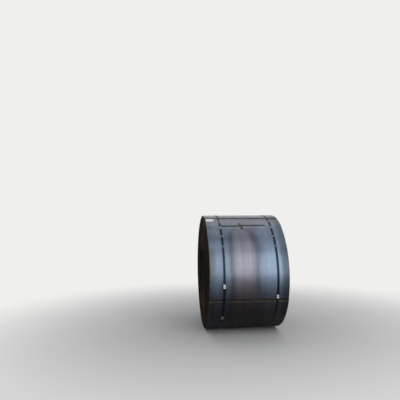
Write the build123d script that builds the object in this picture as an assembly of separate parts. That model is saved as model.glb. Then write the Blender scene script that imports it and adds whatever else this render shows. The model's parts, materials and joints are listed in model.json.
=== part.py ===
from build123d import *
import math
import os

# Hot-rolled steel coil lying on its side, in millimetres.
# The coil's axis is X, the side with the strip's tail end faces -Y, and Z is up.
# The origin is on the axis, in the middle of the strip's width.
# An angle in the end view is measured from the front (-Y) towards the top (+Z).

# The wound strip
STRIP_WIDTH = 1250.0
STRIP_THICKNESS = 10.0
BORE_RADIUS = 381.0
TURNS_IN_BAND = (4, 6, 5, 3, 6, 5, 4, 6, 5, 4, 6, 4)
WANDER_REACH = 4.0
WANDER_STEP = 2.4
WANDER_START = 0.6

# Where the strip ends: its tail outside and its head in the bore
TAIL_ANGLE = -22.2
HEAD_ANGLE = 53.0

# The two straps round the coil
STRAP_WIDTH = 32.0
STRAP_THICKNESS = 1.3
STRAP_GAP = 0.3
STRAP_LEFT_FROM_END = 226.0
STRAP_RIGHT_FROM_END = 181.0
LAP_GAP = 0.2
LAP_CLIMB = 25.0
LAP_BELOW_SEAL = 30.0
LAP_ABOVE_SEAL = 95.0
LAP_PAST_TAIL = 14.0
LAP_PAST_BRIDGE = 35.0

# The crimped seals that hold the straps' ends
SEAL_LENGTH = 64.0
SEAL_THICKNESS = 1.0
SEAL_CLEARANCE = 0.15
SEAL_SLIT = 5.0
SEAL_LEFT_UPPER_ANGLE = -8.5
SEAL_LEFT_LOWER_ANGLE = -43.1
SEAL_RIGHT_FROM_TAIL = 48.0
SEAL_REST_BEND = 0.5
NOTCH_DEPTH = 3.5
NOTCH_SPACING = 26.0

# Worked out from the sizes above
LAST_TURN_RADIUS = BORE_RADIUS + sum(TURNS_IN_BAND) * STRIP_THICKNESS
COIL_RADIUS = LAST_TURN_RADIUS + STRIP_THICKNESS
CLIMB_ANGLE = math.degrees(math.acos(LAST_TURN_RADIUS / COIL_RADIUS))
BRIDGE_LENGTH = math.sqrt(COIL_RADIUS**2 - LAST_TURN_RADIUS**2)
BRIDGE_ANGLE = TAIL_ANGLE + CLIMB_ANGLE
STRAP_LEFT_X = STRAP_LEFT_FROM_END - STRIP_WIDTH / 2
STRAP_RIGHT_X = STRIP_WIDTH / 2 - STRAP_RIGHT_FROM_END
SEAL_LIFT = SEAL_THICKNESS + SEAL_CLEARANCE
SEAL_HEIGHT = 2 * STRAP_THICKNESS + LAP_GAP + 2 * SEAL_LIFT
SEAL_WIDTH = STRAP_WIDTH + 2 * SEAL_LIFT


def polar(radius, angle):
    """Point of the end view at a radius and an angle in degrees."""
    turn = math.radians(angle)
    return (radius * math.cos(turn), radius * math.sin(turn))


def end_view(x):
    """Plane across the axis at x, its first direction to the front and its second up."""
    return Plane(origin=(x, 0, 0), x_dir=(0, -1, 0), z_dir=(-1, 0, 0))


def flat(angle, radius, along=0.0):
    """Place in the end view: outwards by the radius at an angle, then sideways along the flat."""
    return Rot(0, 0, angle) * Pos(radius, along)


def wander(band):
    """How far a band of turns lies sideways of the middle."""
    return WANDER_REACH * math.sin(WANDER_START + band * WANDER_STEP)


# The coil

def turned_body():
    """All bands of turns but the outermost, turned about the axis, each a little off its neighbours."""
    left, right = [], []
    inner = BORE_RADIUS
    for band, turns in enumerate(TURNS_IN_BAND[:-1]):
        outer = inner + turns * STRIP_THICKNESS
        for radius in (inner, outer):
            left.append((wander(band) - STRIP_WIDTH / 2, radius))
            right.append((wander(band) + STRIP_WIDTH / 2, radius))
        inner = outer
    profile = make_face(Polyline(*left, *reversed(right), close=True))
    return revolve(Plane.XZ * profile, Axis.X)


def strip_outline():
    """Edges of the coil's outline from its end: the tail, the open turn, the climb and the lap."""
    climb_start = HEAD_ANGLE - CLIMB_ANGLE
    tail = Line(polar(COIL_RADIUS, TAIL_ANGLE), polar(LAST_TURN_RADIUS, TAIL_ANGLE))
    open_turn = CenterArc((0, 0), LAST_TURN_RADIUS, TAIL_ANGLE, climb_start - TAIL_ANGLE)
    climb = Line(polar(LAST_TURN_RADIUS, climb_start), polar(COIL_RADIUS, HEAD_ANGLE))
    lap = CenterArc((0, 0), COIL_RADIUS, HEAD_ANGLE, 360 + TAIL_ANGLE - HEAD_ANGLE)
    return [tail, open_turn, climb, lap]


def outer_band():
    """The outermost turns with the lap over them and the strip's free edge."""
    turns = TURNS_IN_BAND[-1] * STRIP_THICKNESS
    ring = make_face(strip_outline()) - Circle(LAST_TURN_RADIUS - turns)
    return extrude(end_view(wander(len(TURNS_IN_BAND) - 1)) * ring, STRIP_WIDTH / 2, both=True)


def head_gap():
    """The gap in the bore where the first turn climbs over the strip's head end."""
    corner = BORE_RADIUS + STRIP_THICKNESS
    start = HEAD_ANGLE - math.degrees(math.acos(BORE_RADIUS / corner))
    clear = BORE_RADIUS - STRIP_THICKNESS
    gap = Polyline(
        polar(clear, start),
        polar(BORE_RADIUS, start),
        polar(corner, HEAD_ANGLE),
        polar(clear, HEAD_ANGLE),
        close=True,
    )
    return extrude(end_view(0) * make_face(gap), STRIP_WIDTH, both=True)


def coil():
    """The wound strip as one solid."""
    return turned_body() + outer_band() - head_gap()


# Straps and seals

def seal_rest(radius, seal_angle):
    """Flat that lifts a strap off the coil just enough for a seal's underside, with a run up to it."""
    shoulder = math.hypot(radius + SEAL_LIFT, SEAL_LENGTH / 2)
    half_flat = math.degrees(math.acos((radius + SEAL_LIFT) / shoulder))
    run_bend = math.degrees(math.acos(radius / shoulder)) + SEAL_REST_BEND
    foot = shoulder * math.cos(math.radians(run_bend))
    return make_face(
        Polyline(
            polar(foot, seal_angle - half_flat - run_bend),
            polar(shoulder, seal_angle - half_flat),
            polar(shoulder, seal_angle + half_flat),
            polar(foot, seal_angle + half_flat + run_bend),
            close=True,
        )
    )


def taut_face(stand_off, seals):
    """What a strap is pulled tight round: the coil seen on its end, grown by a distance."""
    low, high = LAST_TURN_RADIUS + stand_off, COIL_RADIUS + stand_off
    rise = math.degrees(math.acos(low / high))
    climb_start, climb_end = HEAD_ANGLE - CLIMB_ANGLE, HEAD_ANGLE - CLIMB_ANGLE + rise
    bridge_start = BRIDGE_ANGLE - rise
    coil_face = make_face([
        CenterArc((0, 0), low, BRIDGE_ANGLE, climb_start - BRIDGE_ANGLE),
        Line(polar(low, climb_start), polar(high, climb_end)),
        CenterArc((0, 0), high, climb_end, 360 + bridge_start - climb_end),
        Line(polar(high, bridge_start), polar(low, BRIDGE_ANGLE)),
    ])
    return coil_face + [seal_rest(radius + stand_off, angle) for radius, angle in seals]


def sector(start, end):
    """Wedge of the end view between two angles, wider than the coil."""
    return make_face(Polyline((0, 0), polar(2 * COIL_RADIUS, start), polar(2 * COIL_RADIUS, end), close=True))


def strap(x, lap_start, lap_end, seals):
    """A strap round the coil, whose upper end climbs at lap_end onto its lower end, down to lap_start."""
    under, under_top = STRAP_GAP, STRAP_GAP + STRAP_THICKNESS
    over, over_top = under_top + LAP_GAP, under_top + LAP_GAP + STRAP_THICKNESS
    climb_start = lap_end - math.degrees(LAP_CLIMB / LAST_TURN_RADIUS)
    first = taut_face(under_top, seals) - taut_face(under, seals) - sector(climb_start, lap_end)
    second = (taut_face(over_top, seals) - taut_face(over, seals)) & sector(lap_start, climb_start)
    climb = Polyline(
        polar(LAST_TURN_RADIUS + under, lap_end),
        polar(LAST_TURN_RADIUS + under_top, lap_end),
        polar(LAST_TURN_RADIUS + over_top, climb_start),
        polar(LAST_TURN_RADIUS + over, climb_start),
        close=True,
    )
    section = first + second + make_face(climb)
    return extrude(end_view(x) * section, STRAP_WIDTH / 2, both=True)


def strap_left():
    """The left strap, whose long lap two seals hold."""
    lap_start = SEAL_LEFT_LOWER_ANGLE - math.degrees((SEAL_LENGTH / 2 + LAP_BELOW_SEAL) / COIL_RADIUS)
    lap_end = SEAL_LEFT_UPPER_ANGLE + math.degrees((SEAL_LENGTH / 2 + LAP_ABOVE_SEAL) / LAST_TURN_RADIUS)
    seals = [(LAST_TURN_RADIUS, SEAL_LEFT_UPPER_ANGLE), (COIL_RADIUS, SEAL_LEFT_LOWER_ANGLE)]
    return strap(STRAP_LEFT_X, lap_start, lap_end, seals)


def strap_right():
    """The right strap, whose lap one seal holds where the strap bridges the tail's step."""
    lap_start = TAIL_ANGLE - math.degrees(LAP_PAST_TAIL / COIL_RADIUS)
    lap_end = BRIDGE_ANGLE + math.degrees(LAP_PAST_BRIDGE / LAST_TURN_RADIUS)
    return strap(STRAP_RIGHT_X, lap_start, lap_end, [])


def seal_notches():
    """The crimps at both edges of a seal, cut through the seal and the strap's edges."""
    side = NOTCH_DEPTH * math.sqrt(2)
    notch = Rot(45, 0, 0) * Box(3 * SEAL_HEIGHT, side, side)
    return [
        Pos(0, along * NOTCH_SPACING / 2, edge * SEAL_WIDTH / 2) * notch
        for along in (-1, 1)
        for edge in (-1, 1)
    ]


def seal_sleeve():
    """A seal: a sleeve round both layers of strap, slit along its underside and crimped."""
    middle = STRAP_GAP + STRAP_THICKNESS + LAP_GAP / 2
    sleeve = Box(SEAL_HEIGHT, SEAL_LENGTH, SEAL_WIDTH)
    sleeve -= Box(SEAL_HEIGHT - 2 * SEAL_THICKNESS, SEAL_LENGTH, SEAL_WIDTH - 2 * SEAL_THICKNESS)
    sleeve -= Pos(-SEAL_HEIGHT / 2, 0, 0) * Box(3 * SEAL_THICKNESS, SEAL_LENGTH, SEAL_SLIT)
    return Pos(middle, 0, 0) * (sleeve - seal_notches())


SEAL_LEFT_UPPER = end_view(STRAP_LEFT_X) * flat(SEAL_LEFT_UPPER_ANGLE, LAST_TURN_RADIUS + SEAL_LIFT)
SEAL_LEFT_LOWER = end_view(STRAP_LEFT_X) * flat(SEAL_LEFT_LOWER_ANGLE, COIL_RADIUS + SEAL_LIFT)
SEAL_RIGHT = end_view(STRAP_RIGHT_X) * flat(
    BRIDGE_ANGLE, LAST_TURN_RADIUS, SEAL_RIGHT_FROM_TAIL - BRIDGE_LENGTH
)

parts = {
    "coil": coil(),
    "strap_left": strap_left() - [
        place * notch for place in (SEAL_LEFT_UPPER, SEAL_LEFT_LOWER) for notch in seal_notches()
    ],
    "strap_right": strap_right() - [SEAL_RIGHT * notch for notch in seal_notches()],
    "seal_left_upper": SEAL_LEFT_UPPER * seal_sleeve(),
    "seal_left_lower": SEAL_LEFT_LOWER * seal_sleeve(),
    "seal_right": SEAL_RIGHT * seal_sleeve(),
}

os.makedirs("parts", exist_ok=True)
for name, shape in parts.items():
    export_step(shape, f"parts/{name}.step")
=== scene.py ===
import json
import math
import random

import bpy
import numpy as np
from mathutils import Matrix, Vector


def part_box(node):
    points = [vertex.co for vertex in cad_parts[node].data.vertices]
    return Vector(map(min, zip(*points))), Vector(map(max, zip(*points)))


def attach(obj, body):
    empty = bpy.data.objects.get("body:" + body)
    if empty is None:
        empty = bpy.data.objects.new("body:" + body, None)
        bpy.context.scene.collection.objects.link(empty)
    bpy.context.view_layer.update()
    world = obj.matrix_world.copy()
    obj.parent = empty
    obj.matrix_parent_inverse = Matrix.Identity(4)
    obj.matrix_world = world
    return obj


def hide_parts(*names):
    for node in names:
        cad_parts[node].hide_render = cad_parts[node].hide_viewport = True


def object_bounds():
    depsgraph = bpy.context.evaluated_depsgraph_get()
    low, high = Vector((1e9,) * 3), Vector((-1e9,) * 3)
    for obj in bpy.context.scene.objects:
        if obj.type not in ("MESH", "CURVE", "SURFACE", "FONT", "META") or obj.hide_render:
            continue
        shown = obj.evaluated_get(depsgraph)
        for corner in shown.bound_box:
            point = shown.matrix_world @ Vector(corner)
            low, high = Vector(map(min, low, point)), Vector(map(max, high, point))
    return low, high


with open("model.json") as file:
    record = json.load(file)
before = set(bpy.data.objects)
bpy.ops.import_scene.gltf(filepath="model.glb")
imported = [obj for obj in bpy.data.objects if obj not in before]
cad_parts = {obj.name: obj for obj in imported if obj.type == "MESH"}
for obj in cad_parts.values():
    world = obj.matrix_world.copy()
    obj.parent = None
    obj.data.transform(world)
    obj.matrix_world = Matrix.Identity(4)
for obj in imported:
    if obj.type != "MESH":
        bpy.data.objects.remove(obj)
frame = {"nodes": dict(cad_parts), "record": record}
CAD_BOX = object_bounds()

# Steel coil on its side, in metres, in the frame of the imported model.
# X runs along the coil's axis, the side with the strip's tail faces -Y, and Z is up.
# An angle in the end view is in degrees from the front (-Y) towards the top (+Z).
# A winding angle counts on from the strip's head in the eye, outwards, to its tail.

# The strip as it is wound
MOUNTS = {mount["name"]: mount for mount in frame["record"]["mounts"]}
EYE_RADIUS = MOUNTS["eye"]["dims"]["r_mm"] / 1000
STRIP_WIDTH = MOUNTS["eye"]["dims"]["length_mm"] / 1000
HALF_WIDTH = STRIP_WIDTH / 2
THICKNESS = 0.010
TURNS_IN_BAND = (4, 6, 5, 3, 6, 5, 4, 6, 5, 4, 6, 4)
FULL_TURNS = sum(TURNS_IN_BAND)
LAST_TURN_RADIUS = EYE_RADIUS + FULL_TURNS * THICKNESS
COIL_RADIUS = LAST_TURN_RADIUS + THICKNESS
HEAD_ANGLE = 53.0
TAIL_ANGLE = -22.2
TAIL_WINDING = 360 * FULL_TURNS + (TAIL_ANGLE - HEAD_ANGLE) % 360

# How far the strip lies sideways, as waves over the bands of turns, over the turns and along each turn.
# The steps and starts are in radians.
BAND_WANDER = 0.0032
BAND_STEP = 2.4
BAND_START = 0.6
TURN_WANDER = 0.0007
TURN_STEP = 2.7
TURN_START = 1.3
SLOW_WANDER = 0.0003

# Section of a turn's edge: a share of the thickness, and how far in from the edge it lies there
EDGE_ROUNDING = 0.0035
EDGE_CROWN = 0.0006
EDGE_SECTION = (
    (0.05, EDGE_ROUNDING),
    (0.22, EDGE_CROWN),
    (0.50, 0.0),
    (0.78, EDGE_CROWN),
    (0.95, EDGE_ROUNDING),
)
GROOVE_DEPTH = 0.012
GROOVE_X = HALF_WIDTH - GROOVE_DEPTH

# Section of the tail's end: a share of the thickness, and how far the face lies on past the tail there
TAIL_SECTION = ((0.0, 0.0020), (0.18, 0.0009), (0.45, 0.0), (0.75, 0.0), (0.93, -0.0003), (1.0, -0.0012))
TAIL_MARGIN = 0.001
TAIL_WAVE = 0.0006
TAIL_GRAIN = 0.0002

# How finely the strip and the straps are divided. Steps are in degrees, and the places on the face of
# the strip's head are shares of its thickness.
COLUMNS_PER_TURN = 240
WRAP_STEP = 1.0
WRAP_COLUMNS = 90
HEAD_KINK_STEPS = (-0.5, -0.2, 0.0, 0.2, 0.5)
TAIL_COLUMNS = 160
EYE_STEP = 1.5
EYE_COLUMNS = 40
HEAD_SHARES = (0.95, 0.5, 0.05)
STRAP_STEP = 0.75

# Seeds of the random draws
LEFT_TONE_SEED = 7
RIGHT_TONE_SEED = 8
TAIL_SEED = 3

# A fade is where it is nothing and where it is full, and a band its low end, high end and blur.
# NOISE_RANGE is what most of a noise lies in.
NOISE_RANGE = (0.3, 0.7)

# Fades by angle: of the front's marks underneath, and of what changes down the front, much of it painted
# shade
BACK_FADE = (-150.0, -70.0)
LOW_FRONT_SHADE_FADE = (0.0, -22.0)
DUST_FADE = (0.0, -48.0)
SUNK_FADE = (-45.0, -56.0)
LAP_DIRT_AND_SHADE_FADE = (-22.0, -50.0)
LOW_RIM_FADE = (15.0, -20.0)
LOW_DIRT_AND_SHADE_FADE = (4.0, -12.0)
LOW_STRAP_SHADE_FADE = (0.0, -14.0)
LOW_SEAL_SHADE_FADE = (-30.0, -38.0)

# The sides' scale, by place from -BLUE_REACH to BLUE_REACH, and what it turns to elsewhere
BLUE_REACH = 0.64
BLUE_SCALE = (
    (0.000, (0.038, 0.044, 0.054)),
    (0.045, (0.040, 0.054, 0.074)),
    (0.080, (0.070, 0.100, 0.148)),
    (0.120, (0.074, 0.106, 0.162)),
    (0.240, (0.070, 0.096, 0.148)),
    (0.450, (0.086, 0.094, 0.116)),
    (0.600, (0.062, 0.080, 0.114)),
    (0.760, (0.107, 0.154, 0.226)),
    (0.880, (0.092, 0.136, 0.200)),
    # The last three stops are painted shade along the right margin.
    (0.920, (0.048, 0.072, 0.106)),
    (0.965, (0.038, 0.056, 0.082)),
    (1.000, (0.020, 0.026, 0.038)),
)
GREY_SCALE = (0.089, 0.096, 0.107)
GREY_TOP_FADE = (50.0, 60.0)
GREY_SHARE = 0.6
PALE_SCALE = (0.125, 0.158, 0.205)
MARGIN_BAND = (32.0, 44.0, 12.0)
LEFT_MARGIN_FADE = (-0.36, -0.50)
LEFT_MARGIN_SHARE = 0.55
RIGHT_MARGIN_FADE = (0.46, 0.53)
RIGHT_MARGIN_SHARE = 0.30

# The arch that the purple-grey middle ends in, its dark outline, and the dusky place under its top
ARCH_MIDDLE_X = -0.076
ARCH_HALF_WIDTH = 0.206
ARCH_FOOT_ANGLE = 8.0
ARCH_TOP_ANGLE = 52.0
ARCH_SQUARENESS = 6.0
UPPER_PURPLE = (0.124, 0.125, 0.160)
LOWER_PURPLE = (0.112, 0.086, 0.103)
PURPLE_FADE = (12.0, -18.0)
INNER_OUTLINE = (0.031, 0.031, 0.057)
OUTER_OUTLINE = (0.026, 0.038, 0.064)
FLARE_LOW_FADE = (6.0, 26.0)
FLARE_TOP_FADE = (52.0, 36.0)
OUTLINE_END_FADE = (-20.0, -6.0)
DUSKY_SCALE = (0.026, 0.028, 0.040)
DUSKY_BAND = (44.0, 48.0, 8.0)
DUSKY_FADE = (-0.35, -0.10)
DUSKY_SHARE = 0.24

# The crease over the strip's head, which lies a little lower left of its step, painted dark as shade with a
# painted highlight under it, and a second dark line above, a painted reflection
CREASE_X = (-0.40, 0.36)
CREASE_STEP_X = -0.055
CREASE_STEP = 0.8
DARK_REFLECTION_LINE_ANGLE = 69.3
CREASE_SHADE_AND_REFLECTION_COLOUR = (0.017, 0.015, 0.016)
CREASE_SHADE_AND_REFLECTION_SHARE = 0.94
CREASE_HIGHLIGHT_COLOUR = (0.25, 0.25, 0.27)

# Smudges, dark patches beside the seals, and a painted highlight under the crease: place along the axis,
# angle, half width in metres, half height in degrees, tone and share
SMUDGES_AND_HIGHLIGHT = (
    (-0.074, 56.3, 0.018, 1.4, 0.018, 0.90),
    (-0.060, 54.6, 0.020, 1.1, 0.022, 0.85),
    (-0.046, 51.1, 0.028, 2.1, 0.026, 0.90),
    (-0.006, 51.6, 0.014, 0.9, 0.340, 0.75),
    # A painted highlight under the crease.
    (-0.130, 51.1, 0.050, 0.6, 0.280, 0.50),
    (-0.072, -28.0, 0.014, 5.5, 0.004, 0.60),
    (-0.424, -9.2, 0.010, 2.4, 0.006, 0.90),
    (-0.375, -13.5, 0.022, 2.6, 0.006, 0.50),
    (0.418, -19.4, 0.010, 2.2, 0.006, 0.90),
)

# Patches crowded with flakes: place along the axis, angle, half width in metres, half height in degrees
FLAKE_PATCHES = (
    (-0.43, -8.0, 0.16, 10.0),
    (-0.42, 41.0, 0.20, 13.0),
    (-0.05, 47.0, 0.07, 2.6),
    (0.36, 46.0, 0.14, 8.0),
)
PALE_FLAKE = (0.20, 0.22, 0.26)
DARK_FLAKE = (0.024, 0.025, 0.042)

# Painted shade down the outer turn's front, grime on its lap deepened downwards as painted shade, the lines
# at its tail (dirt and painted shade at the foot of the step, wear and painted highlight below the edge), its
# worn edges, and its clear coat
LOW_FRONT_SHADE_TINT = (0.37, 0.34, 0.375)
LAP_DIRT_AND_SHADE = (
    (0.36, (0.004, 0.004, 0.006)),
    (0.50, (0.012, 0.010, 0.009)),
    (0.64, (0.025, 0.021, 0.017)),
)
TAIL_FOOT_DIRT_AND_SHADE = (0.012, 0.008, 0.006)
TAIL_LIP_WEAR_AND_HIGHLIGHT = (0.135, 0.125, 0.092)
BARE_RIM = (0.22, 0.23, 0.215)
RIM_FADE = (HALF_WIDTH - 0.011, HALF_WIDTH - 0.004)
COAT_ROUGHNESS = 0.28
COAT_IOR = 1.6

# Colours of the other materials
RUSTY_EDGES = (
    (0.00, (0.009, 0.008, 0.008)),
    (0.35, (0.020, 0.015, 0.012)),
    (0.65, (0.042, 0.027, 0.019)),
    (1.00, (0.095, 0.056, 0.036)),
)
EDGE_GRAIN = (0.016, 0.012, 0.010)
# Painted shade in the gaps between the turns
EDGE_GAP_SHADE = (0.004, 0.003, 0.002)
EYE_SCALE = ((0.3, (0.022, 0.022, 0.024)), (0.7, (0.046, 0.044, 0.047)))
EYE_RUST = (0.048, 0.027, 0.017)
STRAP_BLUE = (
    (0.30, (0.0045, 0.010, 0.022)),
    (0.55, (0.0095, 0.023, 0.044)),
    (0.80, (0.028, 0.049, 0.078)),
)
# Colour of the painted reflections on the straps
STRAP_REFLECTION_COLOUR = (0.235, 0.240, 0.260)
# Painted shade of the straps lower down
STRAP_LOW_SHADE = (0.006, 0.005, 0.008)
SHEARED_STEEL = (
    (0.30, (0.010, 0.007, 0.005)),
    (0.50, (0.026, 0.020, 0.014)),
    (0.70, (0.075, 0.062, 0.045)),
)
ZINC = ((0.0, (0.54, 0.55, 0.56)), (1.0, (0.68, 0.68, 0.68)))
ZINC_SMEAR = (0.25, 0.25, 0.26)
# Painted shade on the seals
ZINC_SHADE = (0.030, 0.028, 0.030)
# Painted shade of the lowest seal
ZINC_LOW_SHADE = (0.105, 0.100, 0.095)
PAPER = ((0.3, (0.63, 0.62, 0.60)), (0.7, (0.69, 0.68, 0.66)))
PAPER_SOIL = (0.38, 0.35, 0.31)

# The straps and their seals
STRAP_WIDTH = 0.032
STRAP_THICKNESS = 0.0013
STRAP_CORNER = 0.0003
STRAP_GAP = 0.0003
LAP_GAP = 0.0002
LAP_CLIMB = 0.025
LAP_BELOW_SEAL = 0.030
LAP_ABOVE_SEAL = 0.095
LAP_PAST_TAIL = 0.014
LAP_PAST_BRIDGE = 0.035
SEAL_LENGTH = 0.064
SEAL_LIFT = 0.00115
SEAL_REST_BEND = 0.5
SEAL_BEVEL = 0.0003
SEAL_LEFT_UPPER_ANGLE = -8.5
SEAL_LEFT_LOWER_ANGLE = -43.1

# Painted shade on the seals, at their crimps and ends: place along the axis, angle, half width in metres,
# half height in degrees and share
SEAL_SHADE = (
    (-0.404, -8.7, 0.012, 0.34, 0.85),
    (0.438, -19.4, 0.012, 0.34, 0.85),
    (-0.400, -6.4, 0.030, 0.30, 0.70),
    (0.440, -17.3, 0.030, 0.35, 0.70),
    (0.440, -21.5, 0.030, 0.60, 0.92),
)

# Painted reflections on the straps, at the same angles on both: angle, half height in degrees and share
STRAP_REFLECTIONS = ((60.9, 0.8, 0.85), (51.3, 1.2, 0.80), (39.8, 0.5, 0.75), (28.6, 0.7, 0.33))

# Dirt and painted shade on the strip beside each strap: its share above, and that on the lower front
STRAP_EDGE_DIRT_AND_SHADE = (("strap_left", 0.45), ("strap_right", 0.70))
STRAP_EDGE_DIRT_AND_SHADE_BELOW = 0.90
STRAP_EDGE_DIRT_AND_SHADE_COLOUR = (0.008, 0.008, 0.011)

# The paper label. Its lower right corner curls up past LABEL_FLAT, counted from 0 at the upper left
# corner to 2 at the lower right one.
LABEL_X = (-0.611, -0.486)
LABEL_ANGLES = (62.1, 67.4)
LABEL_COLUMNS = 24
LABEL_ROWS = 22
LABEL_LEAN = 0.002
LABEL_TURN = 0.1
LABEL_STANDING = 0.0004
LABEL_THICKNESS = 0.0002
LABEL_CURL = 0.011
LABEL_FLAT = 1.55
LABEL_COCKLE = 0.00015

# The photograph's camera: its frame is 400 by 400 pixels
CAMERA_PLACE = Vector((-1.371, -6.743, 0.761))
CAMERA_YAW = -5.99
CAMERA_PITCH = 4.12
CAMERA_ROLL = 0.46
CAMERA_REACH = 200
FOCAL_PIXELS = 380.0
FRAME_PIXELS = 400
SENSOR_MM = 36.0

# The floor and the backdrop, whose colours go by how steeply a ray points up
FLOOR_REACH = 60.0
FLOOR_COLOUR = (0.56, 0.555, 0.55)
FLOOR_FADE = (1.4, 6.0)
BACKDROP_COLOUR = (0.87, 0.865, 0.855)
SKY = (
    (0.53, BACKDROP_COLOUR),
    (0.68, (0.16, 0.16, 0.18)),
    (0.92, (0.46, 0.47, 0.50)),
)
WORLD_COLOUR = (0.94, 0.96, 1.0)
WORLD_STRENGTH = 0.42

# Lamps: name, place, the point each faces, its two sizes, its glow and its colour
LAMPS = (
    ("light_ahead", (2.1, -7.6, 2.10), (0, 0, 0.3), (5.6, 5.9), 2.45, (0.97, 1.0, 0.99)),
    ("light_between", (1.2, -4.8, 5.2), (0, 0, 0), (5.6, 3.5), 1.3, (0.97, 0.99, 1.0)),
    ("light_above", (0.3, 1.4, 5.4), (0, 0.8, 0), (8.5, 4.6), 0.97, (1.0, 0.99, 0.98)),
)


# Shapes in the end view

def climb_angle(radius):
    """Degrees that a turn takes to climb one strip thickness, as a straight run from its round."""
    return math.degrees(math.acos(radius / (radius + THICKNESS)))


def inner_radius(winding):
    """Radius of the strip's inner face at a winding angle: round, with a climb before each full turn."""
    turn, angle = divmod(winding, 360)
    radius = EYE_RADIUS + turn * THICKNESS
    past = angle - (360 - climb_angle(radius))
    return radius / math.cos(math.radians(past)) if past > 0 else radius


def end_point(x, radius, angle):
    """Point in the frame at a radius and an angle of the end view."""
    turn = math.radians(angle)
    return (x, -radius * math.cos(turn), radius * math.sin(turn))


def wander(winding):
    """How far the strip lies sideways of the middle at a winding angle."""
    turn = winding / 360
    passed = 0
    for band, turns in enumerate(TURNS_IN_BAND):
        passed += turns
        if turn < passed or band == len(TURNS_IN_BAND) - 1:
            break
    drift = BAND_WANDER * math.sin(BAND_START + band * BAND_STEP)
    drift += TURN_WANDER * math.sin(TURN_STEP * int(turn) + TURN_START)
    return drift + SLOW_WANDER * math.sin(math.radians(winding) + turn)


# Making meshes

def grid_mesh(name, points, close_columns=False, flip=False):
    """Quad mesh through rows and columns of points."""
    rows, columns, _ = points.shape
    index = np.arange(rows * columns).reshape(rows, columns)
    if close_columns:
        index = np.concatenate([index, index[:, :1]], axis=1)
    quads = np.stack([index[:-1, :-1], index[:-1, 1:], index[1:, 1:], index[1:, :-1]], axis=-1)
    if flip:
        quads = quads[..., ::-1]
    mesh = bpy.data.meshes.new(name)
    mesh.from_pydata(points.reshape(-1, 3).tolist(), [], quads.reshape(-1, 4).tolist())
    return mesh


def with_faces(mesh, faces):
    """The mesh with a few faces added."""
    points = [vertex.co[:] for vertex in mesh.vertices]
    quads = [list(polygon.vertices) for polygon in mesh.polygons]
    full = bpy.data.meshes.new(mesh.name)
    full.from_pydata(points, [], quads + faces)
    return full


def make_piece(name, mesh, material, sharp_degrees=35.0):
    """Object of the coil from a mesh: shaded smooth but for its sharp edges, riding on the one body."""
    mesh.shade_smooth()
    mesh.set_sharp_from_angle(angle=math.radians(sharp_degrees))
    mesh.materials.append(material)
    piece = bpy.data.objects.new(name, mesh)
    bpy.context.scene.collection.objects.link(piece)
    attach(piece, "root")
    return piece


def add_values(mesh, name, values):
    """Number for each point of a mesh, which its material reads."""
    layer = mesh.attributes.new(name, "FLOAT", "POINT")
    layer.data.foreach_set("value", np.asarray(values, np.float32).ravel())


# Node trees

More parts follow.
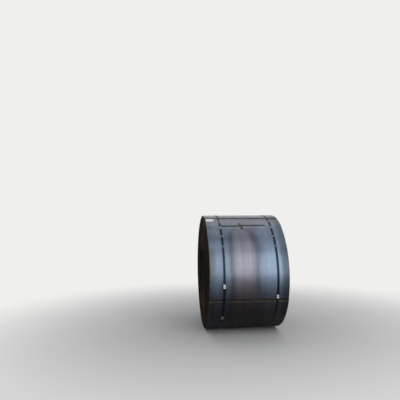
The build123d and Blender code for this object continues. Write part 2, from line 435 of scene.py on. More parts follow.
class Nodes:
    """Short ways to build the nodes of a material or of the world."""

    def __init__(self, owner, output):
        self.owner = owner
        owner.use_nodes = True
        self.tree = owner.node_tree
        self.tree.nodes.clear()
        self.output = self.add(output)

    def add(self, kind, **settings):
        node = self.tree.nodes.new("ShaderNode" + kind)
        for key, value in settings.items():
            setattr(node, key, value)
        return node

    def join(self, value, socket):
        """Link an output to a socket, or set the socket to a number or a colour."""
        if isinstance(value, bpy.types.NodeSocket):
            self.tree.links.new(value, socket)
        else:
            socket.default_value = value

    def math(self, operation, first, second=0.0):
        node = self.add("Math", operation=operation)
        self.join(first, node.inputs[0])
        self.join(second, node.inputs[1])
        return node.outputs[0]

    def product(self, *values):
        result = values[0]
        for value in values[1:]:
            result = self.math("MULTIPLY", result, value)
        return result

    def rest(self, share):
        """What a share leaves of one."""
        return self.math("SUBTRACT", 1.0, share)

    def blend(self, first, share, second):
        """Sum of two values, the first by its share of the whole and the second by the rest."""
        kept = self.math("MULTIPLY", first, share)
        return self.math("ADD", kept, self.math("MULTIPLY", second, 1 - share))

    def place(self):
        return self.add("TexCoord").outputs["Object"]

    def axes(self, vector):
        node = self.add("SeparateXYZ")
        self.join(vector, node.inputs[0])
        return node.outputs

    def stretch(self, vector, scale, offset=(0, 0, 0)):
        node = self.add("Mapping")
        self.join(vector, node.inputs["Vector"])
        node.inputs["Scale"].default_value = scale
        node.inputs["Location"].default_value = offset
        return node.outputs[0]

    def noise(self, place, waves, detail, roughness=0.5, offset=(0, 0, 0)):
        """Noise with so many waves in a metre along each axis."""
        vector = self.stretch(place, waves, offset)
        node = self.add("TexNoise")
        self.join(vector, node.inputs["Vector"])
        node.inputs["Scale"].default_value = 1.0
        node.inputs["Detail"].default_value = detail
        node.inputs["Roughness"].default_value = roughness
        return node.outputs["Fac"]

    def spread(self, value, low, high, to_low=0.0, to_high=1.0, smooth=True):
        """Value from low to high, mapped to another range and held at its ends."""
        node = self.add("MapRange", interpolation_type="SMOOTHSTEP" if smooth else "LINEAR")
        for socket, number in zip(node.inputs, (value, low, high, to_low, to_high)):
            self.join(number, socket)
        return node.outputs[0]

    def between(self, share, first, second):
        """First where a share is nothing, second where it is one."""
        return self.spread(share, 0.0, 1.0, first, second, smooth=False)

    def swing(self, noise, low, high):
        """Noise mapped from its usual range to another."""
        return self.spread(noise, *NOISE_RANGE, low, high, smooth=False)

    def band(self, value, low, high, blur):
        """One between low and high, falling to nothing over a blur outside them."""
        rise = self.spread(value, low - blur, low)
        fall = self.spread(value, high, high + blur, 1.0, 0.0)
        return self.math("MULTIPLY", rise, fall)

    def ramp(self, value, stops):
        node = self.add("ValToRGB")
        self.join(value, node.inputs[0])
        colours = node.color_ramp.elements
        colours[0].position, colours[0].color = stops[0][0], (*stops[0][1], 1)
        colours[1].position, colours[1].color = stops[-1][0], (*stops[-1][1], 1)
        for position, colour in stops[1:-1]:
            colours.new(position).color = (*colour, 1)
        return node.outputs[0]

    def mix(self, share, first, second, blend="MIX"):
        node = self.add("Mix", data_type="RGBA", blend_type=blend)
        self.join(share, node.inputs[0])
        for value, socket in ((first, node.inputs[6]), (second, node.inputs[7])):
            self.join((*value, 1) if isinstance(value, tuple) else value, socket)
        return node.outputs[2]

    def bump(self, height, distance, strength):
        node = self.add("Bump")
        self.join(height, node.inputs["Height"])
        node.inputs["Distance"].default_value = distance
        node.inputs["Strength"].default_value = strength
        return node.outputs[0]

    def tinted(self, colour, shade):
        """Colour made darker or lighter by a shade around one."""
        grey = self.add("CombineColor")
        for socket in grey.inputs:
            self.join(shade, socket)
        return self.mix(1.0, colour, grey.outputs[0], "MULTIPLY")

    def seen_ray(self):
        """One for the rays that show a background: the camera's, reflected and refracted ones."""
        path = self.add("LightPath")
        seen = self.math("MAXIMUM", path.outputs["Is Camera Ray"], path.outputs["Is Glossy Ray"])
        return self.math("MAXIMUM", seen, path.outputs["Is Transmission Ray"])

    def surface(self, colour, roughness, metallic, normal, specular):
        shader = self.add("BsdfPrincipled")
        self.join((*colour, 1) if isinstance(colour, tuple) else colour, shader.inputs["Base Color"])
        self.join(roughness, shader.inputs["Roughness"])
        self.join(metallic, shader.inputs["Metallic"])
        shader.inputs["Specular IOR Level"].default_value = specular
        if normal is not None:
            self.join(normal, shader.inputs["Normal"])
        return shader

    def mixed_shader(self, share, first, second):
        """First shader where a share is nothing, second where it is one."""
        mix = self.add("MixShader")
        for value, socket in zip((share, first.outputs[0], second.outputs[0]), mix.inputs):
            self.join(value, socket)
        return mix

    def show(self, shader):
        self.tree.links.new(shader.outputs[0], self.output.inputs[0])
        return self.owner


def material_nodes(name):
    return Nodes(bpy.data.materials.new(name), "OutputMaterial")


def end_view_angle(nodes, axes):
    """Angle of the end view, in degrees, at a point of the surface."""
    forward = nodes.math("MULTIPLY", axes[1], -1.0)
    return nodes.math("DEGREES", nodes.math("ARCTAN2", axes[2], forward))


def front_share(nodes, angle):
    """One down to the front's foot, fading to nothing underneath, so that the front's marks end there."""
    return nodes.spread(angle, *BACK_FADE)


def spot(nodes, x, angle, ragged, place):
    """One within an uneven round or oval patch, given as its place, angle, half width and half height."""
    aside, middle, half_width, half_height = place
    away = nodes.add("CombineXYZ")
    nodes.join(nodes.math("DIVIDE", nodes.math("SUBTRACT", x, aside), half_width), away.inputs[0])
    nodes.join(nodes.math("DIVIDE", nodes.math("SUBTRACT", angle, middle), half_height), away.inputs[1])
    length = nodes.add("VectorMath", operation="LENGTH")
    nodes.join(away.outputs[0], length.inputs[0])
    return nodes.spread(nodes.math("ADD", length.outputs["Value"], ragged), 2.0, 1.1)


# The outer turn's mill scale

def side_scale(nodes, across, angle, front):
    """Blue scale of the sides, greyer over the top and behind, paler on the margins higher up, and painted
    darker at the right margin as shade.
    """
    blue = nodes.ramp(nodes.spread(across, -BLUE_REACH, BLUE_REACH, smooth=False), BLUE_SCALE)
    away = nodes.math("MAXIMUM", nodes.spread(angle, *GREY_TOP_FADE), nodes.rest(front))
    blue = nodes.mix(nodes.math("MULTIPLY", away, GREY_SHARE), blue, GREY_SCALE)
    left = nodes.math("MULTIPLY", nodes.spread(across, *LEFT_MARGIN_FADE), LEFT_MARGIN_SHARE)
    right = nodes.math("MULTIPLY", nodes.spread(across, *RIGHT_MARGIN_FADE), RIGHT_MARGIN_SHARE)
    pale = nodes.product(nodes.band(angle, *MARGIN_BAND), nodes.math("ADD", left, right))
    return nodes.mix(pale, blue, PALE_SCALE)


def scale_zones(nodes, across, angle):
    """Colour of the mill scale: blue sides, and a purple-grey middle that ends in an arch."""
    front = front_share(nodes, angle)
    rise = nodes.spread(angle, ARCH_FOOT_ANGLE, ARCH_TOP_ANGLE, smooth=False)
    rest = nodes.rest(nodes.math("POWER", rise, ARCH_SQUARENESS))
    half = nodes.math("MULTIPLY", nodes.math("SQRT", rest), ARCH_HALF_WIDTH)
    aside = nodes.math("ABSOLUTE", nodes.math("SUBTRACT", across, ARCH_MIDDLE_X))
    past = nodes.math("SUBTRACT", aside, half)
    below_top = nodes.spread(angle, ARCH_TOP_ANGLE - 1.0, ARCH_TOP_ANGLE - 7.0)
    inside = nodes.product(nodes.spread(past, 0.020, -0.060), below_top, front)
    purple = nodes.mix(nodes.spread(angle, *PURPLE_FADE), UPPER_PURPLE, LOWER_PURPLE)
    colour = nodes.mix(inside, side_scale(nodes, across, angle, front), purple)
    dusky = nodes.product(nodes.band(angle, *DUSKY_BAND), nodes.spread(across, *DUSKY_FADE), DUSKY_SHARE)
    colour = nodes.mix(dusky, colour, DUSKY_SCALE)
    share = nodes.product(arch_outline(nodes, across, angle, past), below_top, front)
    outline = nodes.mix(nodes.spread(past, 0.0, 0.06), INNER_OUTLINE, OUTER_OUTLINE)
    return nodes.mix(share, colour, outline)


def arch_outline(nodes, across, angle, past):
    """Share of the arch's dark outline, which flares on its right and ends there above the foot."""
    right = nodes.math("GREATER_THAN", across, ARCH_MIDDLE_X)
    flare = nodes.product(nodes.spread(angle, *FLARE_LOW_FADE), nodes.spread(angle, *FLARE_TOP_FADE), right)
    rise = nodes.spread(past, nodes.between(right, -0.090, -0.135), -0.005)
    fall = nodes.spread(past, 0.010, nodes.between(flare, 0.060, 0.150), 1.0, 0.0)
    low_end = nodes.math("MAXIMUM", nodes.spread(angle, *OUTLINE_END_FADE), nodes.rest(right))
    strength = nodes.spread(angle, 14.0, 32.0, nodes.between(right, 0.84, 0.62), 0.78)
    return nodes.product(rise, fall, low_end, strength)


def painted_crease_lines(nodes, place, x, angle, torn, colour):
    """Colour with the crease over the head painted dark as shade, a painted highlight under it, and a second
    dark line above as a painted reflection, and the mask of both dark lines.
    """
    along = nodes.band(x, CREASE_X[0] + 0.02, CREASE_X[1] - 0.04, 0.06)
    drawn = nodes.noise(place, (7, 75, 75), 4.0, 0.65, (2.3, 0, 0))
    worn = nodes.spread(drawn, 0.30, 0.58, 0.60, 1.0)
    stepped = nodes.spread(x, CREASE_STEP_X - 0.03, CREASE_STEP_X + 0.03, CREASE_STEP, 0.0)
    wavering = nodes.math("ADD", angle, nodes.swing(drawn, -0.55, 0.55))
    lower = nodes.math("ADD", wavering, stepped)
    # Painted shade of the crease over the strip's head.
    dark = nodes.product(nodes.band(lower, HEAD_ANGLE + 0.7, HEAD_ANGLE + 1.5, 1.3), along)
    # A second dark line near the top, a painted reflection.
    second = nodes.band(wavering, DARK_REFLECTION_LINE_ANGLE - 0.5, DARK_REFLECTION_LINE_ANGLE + 0.5, 2.2)
    second = nodes.product(second, nodes.spread(x, -0.62, -0.20, 0.80, 1.0))
    painted_dark_lines = nodes.product(nodes.math("MAXIMUM", dark, second), worn)
    colour = nodes.mix(nodes.math("MULTIPLY", painted_dark_lines, CREASE_SHADE_AND_REFLECTION_SHARE), colour, CREASE_SHADE_AND_REFLECTION_COLOUR)
    # Painted highlight under the crease.
    crease_highlight = nodes.band(lower, HEAD_ANGLE - 1.8, HEAD_ANGLE - 1.2, 0.8)
    crease_highlight = nodes.product(crease_highlight, along, nodes.spread(torn, 0.36, 0.62, 0.05, 0.50))
    return nodes.mix(crease_highlight, colour, CREASE_HIGHLIGHT_COLOUR), painted_dark_lines


def flakes(nodes, place, x, angle, ragged, colour):
    """Specks where the scale has flaked off or is scuffed: crowded in a few patches, rare elsewhere."""
    patch = nodes.noise(place, (3.2, 3.2, 3.2), 3.0, 0.6, (4.1, 0, 0))
    speck = nodes.noise(place, (62, 46, 46), 3.0, 0.6)
    dense = nodes.spread(patch, 0.52, 0.68)
    for crowded in FLAKE_PATCHES:
        dense = nodes.math("MAXIMUM", dense, spot(nodes, x, angle, ragged, crowded))
    pale = nodes.product(nodes.spread(speck, 0.58, 0.66), dense, 0.40)
    dark = nodes.product(nodes.spread(speck, 0.42, 0.34), dense, 0.55)
    colour = nodes.mix(pale, colour, PALE_FLAKE)
    return nodes.mix(dark, colour, DARK_FLAKE)


def dirt_and_shade_by_straps(nodes, x, angle, ragged, colour):
    """Dirt and painted shade along both edges of each strap, most of it on the lower front."""
    lower = nodes.math("MULTIPLY", nodes.spread(angle, *LOW_DIRT_AND_SHADE_FADE), front_share(nodes, angle))
    for name, share in STRAP_EDGE_DIRT_AND_SHADE:
        away = nodes.math("ABSOLUTE", nodes.math("SUBTRACT", x, middle_x(name)))
        # Dirt and painted shade along both edges of the strap.
        line = nodes.spread(nodes.math("ADD", away, nodes.math("MULTIPLY", ragged, 0.008)), 0.031, 0.021)
        darkened = nodes.math("MULTIPLY", line, nodes.between(lower, share, STRAP_EDGE_DIRT_AND_SHADE_BELOW))
        colour = nodes.mix(darkened, colour, STRAP_EDGE_DIRT_AND_SHADE_COLOUR)
    return colour


def lower_shade_and_dirt(nodes, x, angle, streak, ragged, colour):
    """Scale painted darker towards the coil's underside as shade, with grime on the lap deepened downwards as
    painted shade, dirt and painted shade under the tail, and a pale line of wear and painted highlight on the
    outer turn just below the tail's edge.
    """
    front = front_share(nodes, angle)
    # The front painted darker downwards as shade.
    lag = nodes.spread(x, -0.60, -0.25, 3.0, 0.0)
    low_front_shade = nodes.math("MULTIPLY", nodes.spread(nodes.math("ADD", angle, lag), *LOW_FRONT_SHADE_FADE), front)
    colour = nodes.mix(low_front_shade, colour, LOW_FRONT_SHADE_TINT, "MULTIPLY")
    # Grime on the lap, deepened downwards as painted shade.
    lap_grime_and_shade = nodes.ramp(nodes.blend(streak, 0.7, ragged), LAP_DIRT_AND_SHADE)
    lap = nodes.math("LESS_THAN", angle, TAIL_ANGLE)
    lower = nodes.spread(angle, *LAP_DIRT_AND_SHADE_FADE, 0.50, 0.82)
    thick = nodes.math("ADD", lower, nodes.spread(x, -0.5, 0.5, -0.10, 0.15))
    colour = nodes.mix(nodes.product(lap, front, thick), colour, lap_grime_and_shade)
    slanted = nodes.math("ADD", angle, nodes.spread(x, -0.6, 0.6, -0.5, 0.6, smooth=False))
    # Dirt and painted shade at the foot of the tail's step.
    foot_dirt_and_shade = nodes.band(slanted, TAIL_ANGLE - 0.1, TAIL_ANGLE + 0.9, 0.8)
    foot_dirt_and_shade = nodes.product(foot_dirt_and_shade, nodes.spread(ragged, 0.30, 0.60, 0.40, 0.95))
    colour = nodes.mix(foot_dirt_and_shade, colour, TAIL_FOOT_DIRT_AND_SHADE)
    # Wear and painted highlight on the outer turn just below the tail's edge.
    lip_wear_and_highlight = nodes.band(slanted, TAIL_ANGLE - 1.7, TAIL_ANGLE - 0.9, 0.5)
    worn = nodes.spread(ragged, 0.35, 0.60, 0.15, 0.55)
    lip_wear_and_highlight = nodes.product(lip_wear_and_highlight, worn, nodes.spread(streak, 0.35, 0.55, 0.5, 1.0))
    return nodes.mix(lip_wear_and_highlight, colour, TAIL_LIP_WEAR_AND_HIGHLIGHT)


def add_smudges_and_highlight(nodes, x, angle, ragged, torn, colour, dull):
    """Colour with the smudges, dark patches and painted highlight, and the mask of dull places with them in
    it.
    """
    uneven = nodes.math("ADD", ragged, nodes.swing(torn, -0.45, 0.45))
    patchy = nodes.spread(torn, 0.34, 0.56, 0.72, 1.0)
    for *where, tone, share in SMUDGES_AND_HIGHLIGHT:
        marked = nodes.product(spot(nodes, x, angle, uneven, where), patchy, share)
        colour = nodes.mix(marked, colour, (tone, tone * 0.96, tone))
        dull = nodes.math("MAXIMUM", dull, marked)
    return colour, dull


def bare_rims(nodes, x, angle, ragged, colour):
    """Scale worn off along the strip's two edges, less of it on the lower front."""
    rim = nodes.spread(nodes.math("ABSOLUTE", x), *RIM_FADE)
    low = nodes.math("MULTIPLY", nodes.spread(angle, *LOW_RIM_FADE), front_share(nodes, angle))
    worn = nodes.product(rim, nodes.spread(ragged, 0.3, 0.6), nodes.between(low, 0.50, 0.14))
    return nodes.mix(worn, colour, BARE_RIM)


def mill_scale_material():
    """Blue-grey mill scale: zones across the strip, streaks round the coil, flakes, dirt and worn edges, with
    painted shade, highlights and reflections.
    """
    nodes = material_nodes("mill_scale")
    place = nodes.place()
    axes = nodes.axes(place)
    x = axes[0]
    angle = end_view_angle(nodes, axes)
    drift = nodes.noise(place, (1.5, 2.2, 2.2), 3.0)
    across = nodes.math("ADD", x, nodes.swing(drift, -0.02, 0.02))
    broad = nodes.noise(place, (14, 0.8, 0.8), 3.0)
    fine = nodes.noise(place, (170, 1.6, 1.6), 4.0, 0.6)
    hair = nodes.noise(place, (700, 5, 5), 3.0, 0.6)
    blotch = nodes.noise(place, (5, 3, 3), 5.0, 0.62)
    mottle = nodes.noise(place, (48, 26, 26), 3.0, 0.6)
    ragged = nodes.noise(place, (26, 26, 26), 4.0, 0.6)
    torn = nodes.noise(place, (60, 90, 90), 4.0, 0.7)
    shade = nodes.product(
        nodes.swing(broad, 0.88, 1.11),
        nodes.swing(fine, 0.84, 1.15),
        nodes.swing(hair, 0.87, 1.12),
        nodes.swing(blotch, 0.87, 1.13),
        nodes.swing(mottle, 0.90, 1.10),
    )
    colour = nodes.tinted(scale_zones(nodes, across, angle), shade)
    colour = flakes(nodes, place, x, angle, ragged, colour)
    colour, dull = painted_crease_lines(nodes, place, x, angle, torn, colour)
    colour = dirt_and_shade_by_straps(nodes, x, angle, ragged, colour)
    colour = lower_shade_and_dirt(nodes, x, angle, broad, ragged, colour)
    colour, dull = add_smudges_and_highlight(nodes, x, angle, ragged, torn, colour, dull)
    colour = bare_rims(nodes, x, angle, ragged, colour)
    front = front_share(nodes, angle)
    sunk = nodes.math("MULTIPLY", nodes.spread(angle, *SUNK_FADE), front)
    roughness = nodes.swing(fine, 0.29, 0.39)
    roughness = nodes.math("ADD", roughness, nodes.swing(blotch, -0.04, 0.05))
    roughness = nodes.math("ADD", roughness, nodes.math("MULTIPLY", dull, 0.45))
    roughness = nodes.math("ADD", roughness, nodes.math("MULTIPLY", sunk, 0.40))
    metallic = nodes.between(nodes.math("MAXIMUM", dull, sunk), 0.70, 0.0)
    relief = nodes.math("ADD", nodes.math("MULTIPLY", hair, 0.35), fine)
    relief = nodes.math("SUBTRACT", relief, nodes.math("MULTIPLY", dull, 1.5))
    shader = nodes.surface(colour, roughness, metallic, nodes.bump(relief, 0.0006, 0.5), 0.2)
    dusty = nodes.math("MULTIPLY", nodes.spread(angle, *DUST_FADE), front)
    coat = nodes.product(
        nodes.between(dusty, 0.65, 0.04),
        nodes.spread(dull, 0.0, 0.9, 1.0, 0.0, smooth=False),
        nodes.spread(across, 0.50, 0.56, 1.0, 0.45),
    )
    nodes.join(coat, shader.inputs["Coat Weight"])
    shader.inputs["Coat Roughness"].default_value = COAT_ROUGHNESS
    shader.inputs["Coat IOR"].default_value = COAT_IOR
    return nodes.show(shader)


# The other materials

def turn_edge_material():
    """Rusty brown edges of the turns, each turn a little different, with painted shade in the gaps."""
    nodes = material_nodes("turn_edges")
    place = nodes.place()
    tone = nodes.add("Attribute", attribute_name="turn_tone").outputs["Fac"]
    depth = nodes.add("Attribute", attribute_name="edge_depth").outputs["Fac"]
    cloud = nodes.noise(place, (3, 3, 3), 5.0, 0.6)
    grain = nodes.noise(place, (160, 160, 160), 4.0, 0.6)
    rusty = nodes.math("ADD", nodes.math("MULTIPLY", tone, 0.55), nodes.math("MULTIPLY", cloud, 0.9))
    colour = nodes.ramp(nodes.spread(rusty, 0.35, 1.15, smooth=False), RUSTY_EDGES)
    colour = nodes.mix(nodes.spread(grain, 0.45, 0.75, 0.0, 0.6), colour, EDGE_GRAIN)
    # Painted shade in the gaps between the turns, deepest in the grooves.
    colour = nodes.mix(nodes.spread(depth, 0.25, 1.0, 0.0, 0.95), colour, EDGE_GAP_SHADE)
    roughness = nodes.swing(grain, 0.75, 0.95)
    return nodes.show(nodes.surface(colour, roughness, 0.0, nodes.bump(grain, 0.0008, 0.6), 0.03))


def eye_wall_material():
    """Dark mill scale inside the eye, dusty with rust."""
    nodes = material_nodes("eye_wall")
    place = nodes.place()
    streak = nodes.noise(place, (120, 3, 3), 4.0, 0.6)
    cloud = nodes.noise(place, (4, 5, 5), 5.0, 0.6)
    steel = nodes.ramp(streak, EYE_SCALE)
    colour = nodes.mix(nodes.spread(cloud, 0.42, 0.72, 0.0, 0.75), steel, EYE_RUST)
    roughness = nodes.swing(cloud, 0.60, 0.80)
    return nodes.show(nodes.surface(colour, roughness, 0.25, nodes.bump(streak, 0.0006, 0.4), 0.2))


def strap_material():
    """Blued strapping: dark, satin, with scratches along it, a few painted reflections, and painted shade
    lower down.
    """
    nodes = material_nodes("blued_strap")
    place = nodes.place()
    angle = end_view_angle(nodes, nodes.axes(place))
    scratch = nodes.noise(place, (900, 9, 9), 3.0, 0.6)
    cloud = nodes.noise(place, (14, 14, 14), 4.0, 0.6)
    colour = nodes.ramp(nodes.blend(cloud, 0.7, scratch), STRAP_BLUE)
    for middle, half, share in STRAP_REFLECTIONS:
        # Painted reflection on the strap.
        strap_glint = nodes.band(angle, middle - half, middle + half, 0.7)
        strap_glint = nodes.product(strap_glint, nodes.spread(scratch, 0.34, 0.52, 0.55, 1.0), share)
        colour = nodes.mix(strap_glint, colour, STRAP_REFLECTION_COLOUR)
    # The strap painted darker lower down as shade.
    darkened = nodes.product(nodes.spread(angle, *LOW_STRAP_SHADE_FADE), front_share(nodes, angle), 0.80)
    colour = nodes.mix(darkened, colour, STRAP_LOW_SHADE)
    roughness = nodes.swing(scratch, 0.34, 0.52)
    return nodes.show(nodes.surface(colour, roughness, 0.75, nodes.bump(scratch, 0.0002, 0.5), 0.22))


def sheared_edge_material():
    """The strip's sheared tail end: pale steel gone yellow-brown."""
    nodes = material_nodes("sheared_edge")
    place = nodes.place()
    grain = nodes.noise(place, (220, 60, 60), 4.0, 0.6)
    cloud = nodes.noise(place, (9, 9, 9), 4.0, 0.6)
    colour = nodes.ramp(nodes.blend(cloud, 0.6, grain), SHEARED_STEEL)
    return nodes.show(nodes.surface(colour, 0.6, 0.3, nodes.bump(grain, 0.0008, 0.6), 0.25))


def zinc_material():
    """Bright zinc coat of the seals, with a spangle, smears and painted shade at their crimps and ends; the
    lowest seal is painted darker as shade.
    """
    nodes = material_nodes("zinc")
    place = nodes.place()
    axes = nodes.axes(place)
    angle = end_view_angle(nodes, axes)
    spangle = nodes.add("TexVoronoi")
    nodes.join(nodes.stretch(place, (260, 260, 260)), spangle.inputs["Vector"])
    smear = nodes.noise(place, (90, 90, 90), 4.0, 0.6)
    colour = nodes.ramp(nodes.axes(spangle.outputs["Color"])[0], ZINC)
    colour = nodes.mix(nodes.spread(smear, 0.52, 0.78, 0.0, 0.6), colour, ZINC_SMEAR)
    for *where, share in SEAL_SHADE:
        # Painted shade at the seal's crimps and ends.
        seal_shaded = spot(nodes, axes[0], angle, smear, where)
        colour = nodes.mix(nodes.math("MULTIPLY", seal_shaded, share), colour, ZINC_SHADE)
    # The lowest seal painted darker as shade.
    dull = nodes.product(nodes.spread(angle, *LOW_SEAL_SHADE_FADE), nodes.spread(smear, 0.25, 0.65, 0.95, 0.70))
    colour = nodes.mix(dull, colour, ZINC_LOW_SHADE)
    roughness = nodes.swing(smear, 0.34, 0.5)
    return nodes.show(nodes.surface(colour, roughness, 0.35, nodes.bump(smear, 0.0004, 0.4), 0.4))


def paper_material():
    """Off-white label paper, a little soiled."""
    nodes = material_nodes("label_paper")
    place = nodes.place()
    fibre = nodes.noise(place, (900, 900, 900), 4.0, 0.65)
    soil = nodes.noise(place, (26, 26, 26), 5.0, 0.6)
    colour = nodes.ramp(fibre, PAPER)
    colour = nodes.mix(nodes.spread(soil, 0.55, 0.80, 0.0, 0.5), colour, PAPER_SOIL)
    return nodes.show(nodes.surface(colour, 0.85, 0.0, nodes.bump(fibre, 0.0003, 0.5), 0.2))


# The coil

def turns_on_end(side, material):
    """The edges of all turns on one end of the coil, as a spiral band with a groove beside each turn."""
    columns = round((TAIL_WINDING - 360) / 360 * COLUMNS_PER_TURN)
    section = ((0.0, None), *EDGE_SECTION, (1.0, None))
    rng = random.Random(LEFT_TONE_SEED if side < 0 else RIGHT_TONE_SEED)
    turn_tones = [rng.random() for _ in range(FULL_TURNS + 1)]
    points = np.zeros((len(section), columns + 1, 3))
    tones = np.zeros((len(section), columns + 1))
    depths = np.zeros((len(section), columns + 1))
    for column in range(columns + 1):
        winding = min(column * 360 / COLUMNS_PER_TURN, TAIL_WINDING - 360)
        inner, outer = inner_radius(winding), inner_radius(winding + 360)
        edge = side * HALF_WIDTH + wander(winding)
        for row, (share, depth) in enumerate(section):
            x = side * GROOVE_X if depth is None else edge - side * depth
            points[row, column] = end_point(x, inner + share * (outer - inner), HEAD_ANGLE + winding)
            depths[row, column] = 1.0 if depth is None else depth / EDGE_ROUNDING * 0.5
        tones[:, column] = turn_tones[int(winding // 360)]
    name = "turn_edges_left" if side < 0 else "turn_edges_right"
    mesh = grid_mesh(name, points, flip=side < 0)
    add_values(mesh, "turn_tone", tones)
    add_values(mesh, "edge_depth", depths)
    return make_piece(name, mesh, material, sharp_degrees=70)


def outer_section():
    """Section of the outermost turn: each point's share of the thickness and place along the axis."""
    right = [(share, HALF_WIDTH - depth) for share, depth in EDGE_SECTION]
    face = [(1.0, x) for x in np.linspace(GROOVE_X, -GROOVE_X, WRAP_COLUMNS)]
    left = [(share, -x) for share, x in reversed(right)]
    return [(0.0, GROOVE_X)] + right + face + left + [(0.0, -GROOVE_X)]


def outer_wrap(material):
    """The outermost turn of strip, from under its own tail round to the tail."""
    windings = list(np.arange(TAIL_WINDING - 360, TAIL_WINDING, WRAP_STEP)) + [TAIL_WINDING]
    windings = sorted(set(windings + [360.0 * FULL_TURNS + step for step in HEAD_KINK_STEPS]))
    section = outer_section()
    points = np.zeros((len(section), len(windings), 3))
    for column, winding in enumerate(windings):
        inner, outer = inner_radius(winding), inner_radius(winding + 360)
        shift = wander(winding)
        for row, (share, x) in enumerate(section):
            place = x + shift if share else x
            radius = inner + share * (outer - inner)
            points[row, column] = end_point(place, radius, HEAD_ANGLE + winding)
    mesh = grid_mesh("outer_wrap", points)
    return make_piece("outer_wrap", mesh, material)


def tail_face(material):
    """The sheared end of the strip: a face one thickness tall with a rounded top and a torn lower edge."""
    rng = random.Random(TAIL_SEED)
    shift = wander(TAIL_WINDING)
    points = np.zeros((len(TAIL_SECTION), TAIL_COLUMNS + 1, 3))
    for column in range(TAIL_COLUMNS + 1):
        x = shift + (column / TAIL_COLUMNS - 0.5) * (STRIP_WIDTH - TAIL_MARGIN)
        wave = TAIL_WAVE * math.sin(9 * x) + TAIL_GRAIN * rng.uniform(-1, 1)
        for row, (share, back) in enumerate(TAIL_SECTION):
            angle = TAIL_ANGLE + math.degrees((back + wave * share) / COIL_RADIUS)
            points[row, column] = end_point(x, LAST_TURN_RADIUS + share * THICKNESS, angle)
    mesh = grid_mesh("tail_face", points)
    return make_piece("tail_face", mesh, material)


def eye_wall(material):
    """The inside of the eye with the strip's head end, where the first turn climbs over it."""
    windings = np.append(np.arange(0, 360, EYE_STEP), 360.0)
    head = [EYE_RADIUS + share * THICKNESS for share in HEAD_SHARES]
    points = np.zeros((EYE_COLUMNS, len(windings) + len(head), 3))
    for row, x in enumerate(np.linspace(-GROOVE_X, GROOVE_X, EYE_COLUMNS)):
        ring = [end_point(x, inner_radius(winding), HEAD_ANGLE + winding) for winding in windings]
        points[row] = ring + [end_point(x, radius, HEAD_ANGLE) for radius in head]
    mesh = grid_mesh("eye_wall", points, close_columns=True)
    return make_piece("eye_wall", mesh, material)


# Straps and seals

def middle_x(node):
    """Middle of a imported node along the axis."""
    low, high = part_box(node)
    return (low.x + high.x) / 2


def chord(angle, first, second):
    """Radius at an angle on the straight line between two points given as radius and angle."""
    (r1, a1), (r2, a2) = first, second
    span = math.sin(math.radians(a2 - a1))
    return span / (math.sin(math.radians(a2 - angle)) / r1 + math.sin(math.radians(angle - a1)) / r2)


def taut_radius(angle, seals):
    """Radius of the surface that a strap is pulled tight over, at any angle."""
    bridge = TAIL_ANGLE + climb_angle(LAST_TURN_RADIUS)
    climb_start = HEAD_ANGLE - climb_angle(LAST_TURN_RADIUS)
    angle = (angle - TAIL_ANGLE) % 360 + TAIL_ANGLE
    if angle < bridge:
        radius = chord(angle, (COIL_RADIUS, TAIL_ANGLE), (LAST_TURN_RADIUS, bridge))
    elif angle < climb_start:
        radius = LAST_TURN_RADIUS
    elif angle < HEAD_ANGLE:
        radius = chord(angle, (LAST_TURN_RADIUS, climb_start), (COIL_RADIUS, HEAD_ANGLE))
    else:
        radius = COIL_RADIUS
    for base, seal in seals:
        radius = max(radius, seal_rest(angle, base, seal))
    return radius


def seal_rest(angle, base, seal):
    """Radius of the flat that lifts a strap under a seal, and of the run up to it, or nothing past them."""
    away = abs((angle - seal + 180) % 360 - 180)
    shoulder = math.hypot(base + SEAL_LIFT, SEAL_LENGTH / 2)
    half_flat = math.degrees(math.acos((base + SEAL_LIFT) / shoulder))
    run_bend = math.degrees(math.acos(base / shoulder)) + SEAL_REST_BEND
    if away <= half_flat:
        return (base + SEAL_LIFT) / math.cos(math.radians(away))
    if away <= half_flat + run_bend:
        foot = shoulder * math.cos(math.radians(run_bend))
        return chord(away, (shoulder, half_flat), (foot, half_flat + run_bend))
    return 0.0


def strap_outline():
    """Section of a strap, as places across it and out of it, with its corners cut."""
    half_width, half_thick = STRAP_WIDTH / 2, STRAP_THICKNESS / 2
    inside, below = half_width - STRAP_CORNER, half_thick - STRAP_CORNER
    return (
        (half_width, below), (inside, half_thick), (-inside, half_thick), (-half_width, below),
        (-half_width, -below), (-inside, -half_thick), (inside, -half_thick), (half_width, -below),
    )


def strap(name, lap_start, lap_end, seals, material):
    """A strap swept from its free upper layer round the coil to the end beneath it."""
    x = middle_x(name)
    climb_start = lap_end - math.degrees(LAP_CLIMB / LAST_TURN_RADIUS)
    under = STRAP_GAP + STRAP_THICKNESS / 2
    over = under + STRAP_THICKNESS + LAP_GAP
    angles = list(np.arange(lap_start, 360 + climb_start, STRAP_STEP))
    angles = sorted(set(angles + [climb_start, lap_end, 360 + climb_start]))
    outline = strap_outline()
    points = np.zeros((len(angles), len(outline), 3))
    for row, angle in enumerate(angles):
        rise = min(max((lap_end - angle) / (lap_end - climb_start), 0.0), 1.0)
        radius = taut_radius(angle, seals) + under + (over - under) * rise
        for column, (aside, out) in enumerate(outline):
            points[row, column] = end_point(x + aside, radius + out, angle)
    rows, columns = points.shape[:2]
    ends = [list(range(columns)), list(range((rows - 1) * columns, rows * columns))[::-1]]
    mesh = with_faces(grid_mesh(name, points, close_columns=True), ends)
    piece = make_piece(name, mesh, material)
    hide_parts(name)


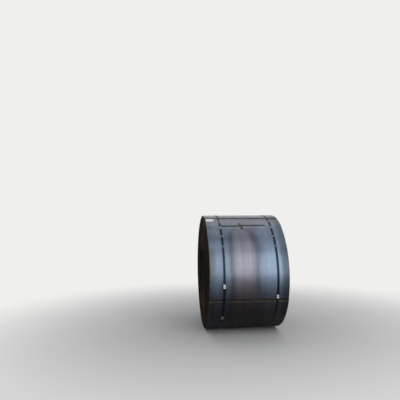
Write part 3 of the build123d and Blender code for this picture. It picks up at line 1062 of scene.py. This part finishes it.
def make_straps(material):
    """Both straps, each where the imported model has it."""
    bridge = TAIL_ANGLE + climb_angle(LAST_TURN_RADIUS)
    half_seal = SEAL_LENGTH / 2
    left_seals = [(LAST_TURN_RADIUS, SEAL_LEFT_UPPER_ANGLE), (COIL_RADIUS, SEAL_LEFT_LOWER_ANGLE)]
    left_start = SEAL_LEFT_LOWER_ANGLE - math.degrees((half_seal + LAP_BELOW_SEAL) / COIL_RADIUS)
    left_end = SEAL_LEFT_UPPER_ANGLE + math.degrees((half_seal + LAP_ABOVE_SEAL) / LAST_TURN_RADIUS)
    right_start = TAIL_ANGLE - math.degrees(LAP_PAST_TAIL / COIL_RADIUS)
    right_end = bridge + math.degrees(LAP_PAST_BRIDGE / LAST_TURN_RADIUS)
    strap("strap_left", left_start, left_end, left_seals, material)
    strap("strap_right", right_start, right_end, [], material)


def dress_seals(material):
    """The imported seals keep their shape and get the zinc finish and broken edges."""
    for name in ("seal_left_upper", "seal_left_lower", "seal_right"):
        seal = frame["nodes"][name]
        seal.data.materials.clear()
        seal.data.materials.append(material)
        bevel = seal.modifiers.new("broken_edges", "BEVEL")
        bevel.width = SEAL_BEVEL
        bevel.segments = 2
        bevel.limit_method = "ANGLE"


def paper_label(material):
    """A blank paper label on the outer turn, near its left end, with one corner lifted."""
    points = np.zeros((LABEL_ROWS + 1, LABEL_COLUMNS + 1, 3))
    for row in range(LABEL_ROWS + 1):
        for column in range(LABEL_COLUMNS + 1):
            across, up = column / LABEL_COLUMNS, row / LABEL_ROWS
            lift = LABEL_CURL * max(0.0, across + (1 - up) - LABEL_FLAT) ** 2
            cockle = LABEL_COCKLE * math.sin(7 * across + 3 * up) * math.sin(5 * up)
            x = LABEL_X[0] + across * (LABEL_X[1] - LABEL_X[0]) + LABEL_LEAN * up
            angle = LABEL_ANGLES[0] + up * (LABEL_ANGLES[1] - LABEL_ANGLES[0]) + LABEL_TURN * across
            points[row, column] = end_point(x, COIL_RADIUS + LABEL_STANDING + lift + cockle, angle)
    piece = make_piece("paper_label", grid_mesh("paper_label", points), material)
    thick = piece.modifiers.new("paper_thickness", "SOLIDIFY")
    thick.thickness = LABEL_THICKNESS
    thick.offset = 0.0


def build_coil():
    """All pieces of the coil."""
    wrap = outer_wrap(mill_scale_material())
    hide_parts("coil")
    edges = turn_edge_material()
    turns_on_end(-1, edges)
    turns_on_end(1, edges)
    tail_face(sheared_edge_material())
    eye_wall(eye_wall_material())
    make_straps(strap_material())
    dress_seals(zinc_material())
    paper_label(paper_material())


# Stage, light and camera

def make_floor():
    """Plain pale floor, which passes into the backdrop's colour away from the coil."""
    nodes = material_nodes("floor")
    lit = nodes.surface(FLOOR_COLOUR, 0.9, 0.0, None, 0.2)
    far = nodes.add("Emission")
    far.inputs["Color"].default_value = (*BACKDROP_COLOUR, 1)
    distance = nodes.add("VectorMath", operation="LENGTH")
    nodes.join(nodes.place(), distance.inputs[0])
    faded = nodes.spread(distance.outputs["Value"], *FLOOR_FADE)
    seen = nodes.math("MULTIPLY", faded, nodes.seen_ray())
    reach, level = FLOOR_REACH, CAD_BOX[0].z
    mesh = bpy.data.meshes.new("floor")
    corners = [(-reach, -reach, level), (reach, -reach, level), (reach, reach, level), (-reach, reach, level)]
    mesh.from_pydata(corners, [], [(0, 1, 2, 3)])
    mesh.materials.append(nodes.show(nodes.mixed_shader(seen, lit, far)))
    floor = bpy.data.objects.new("floor", mesh)
    bpy.context.scene.collection.objects.link(floor)


def add_softbox(name, place, target, size, glow, colour):
    """Area light that faces a point, as bright as its glow where a white card's is one in full light."""
    light = bpy.data.lights.new(name, "AREA")
    light.shape = "RECTANGLE"
    light.size, light.size_y = size
    light.energy = math.pi * size[0] * size[1] * glow
    light.color = colour
    lamp = bpy.data.objects.new(name, light)
    lamp.location = place
    lamp.rotation_euler = (Vector(target) - Vector(place)).to_track_quat("-Z", "Y").to_euler()
    lamp.visible_camera = False
    bpy.context.scene.collection.objects.link(lamp)


def light_scene():
    """The soft lamps, a dim even world, and a backdrop that is palest near the horizon."""
    for lamp in LAMPS:
        add_softbox(*lamp)
    world = bpy.data.worlds.new("world")
    bpy.context.scene.world = world
    nodes = Nodes(world, "OutputWorld")
    height = nodes.axes(nodes.add("TexCoord").outputs["Generated"])[2]
    backdrop = nodes.add("Background")
    nodes.join(nodes.ramp(height, SKY), backdrop.inputs["Color"])
    glow = nodes.add("Background")
    glow.inputs["Color"].default_value = (*WORLD_COLOUR, 1)
    glow.inputs["Strength"].default_value = WORLD_STRENGTH
    nodes.show(nodes.mixed_shader(nodes.seen_ray(), glow, backdrop))


def make_camera():
    """The photograph's camera."""
    camera = bpy.data.cameras.new("camera")
    camera.sensor_width = SENSOR_MM
    camera.lens = SENSOR_MM * FOCAL_PIXELS / FRAME_PIXELS
    camera.clip_end = CAMERA_REACH
    holder = bpy.data.objects.new("camera", camera)
    turned = (
        Matrix.Rotation(math.radians(CAMERA_YAW), 3, "Z")
        @ Matrix.Rotation(math.radians(CAMERA_PITCH), 3, "X")
        @ Matrix.Rotation(math.radians(CAMERA_ROLL), 3, "Y")
        @ Matrix.Rotation(math.radians(90), 3, "X")
    )
    holder.matrix_world = Matrix.Translation(CAMERA_PLACE) @ turned.to_4x4()
    bpy.context.scene.collection.objects.link(holder)
    bpy.context.scene.camera = holder


build_coil()
make_floor()
light_scene()
make_camera()
bpy.context.scene.view_settings.view_transform = "Standard"
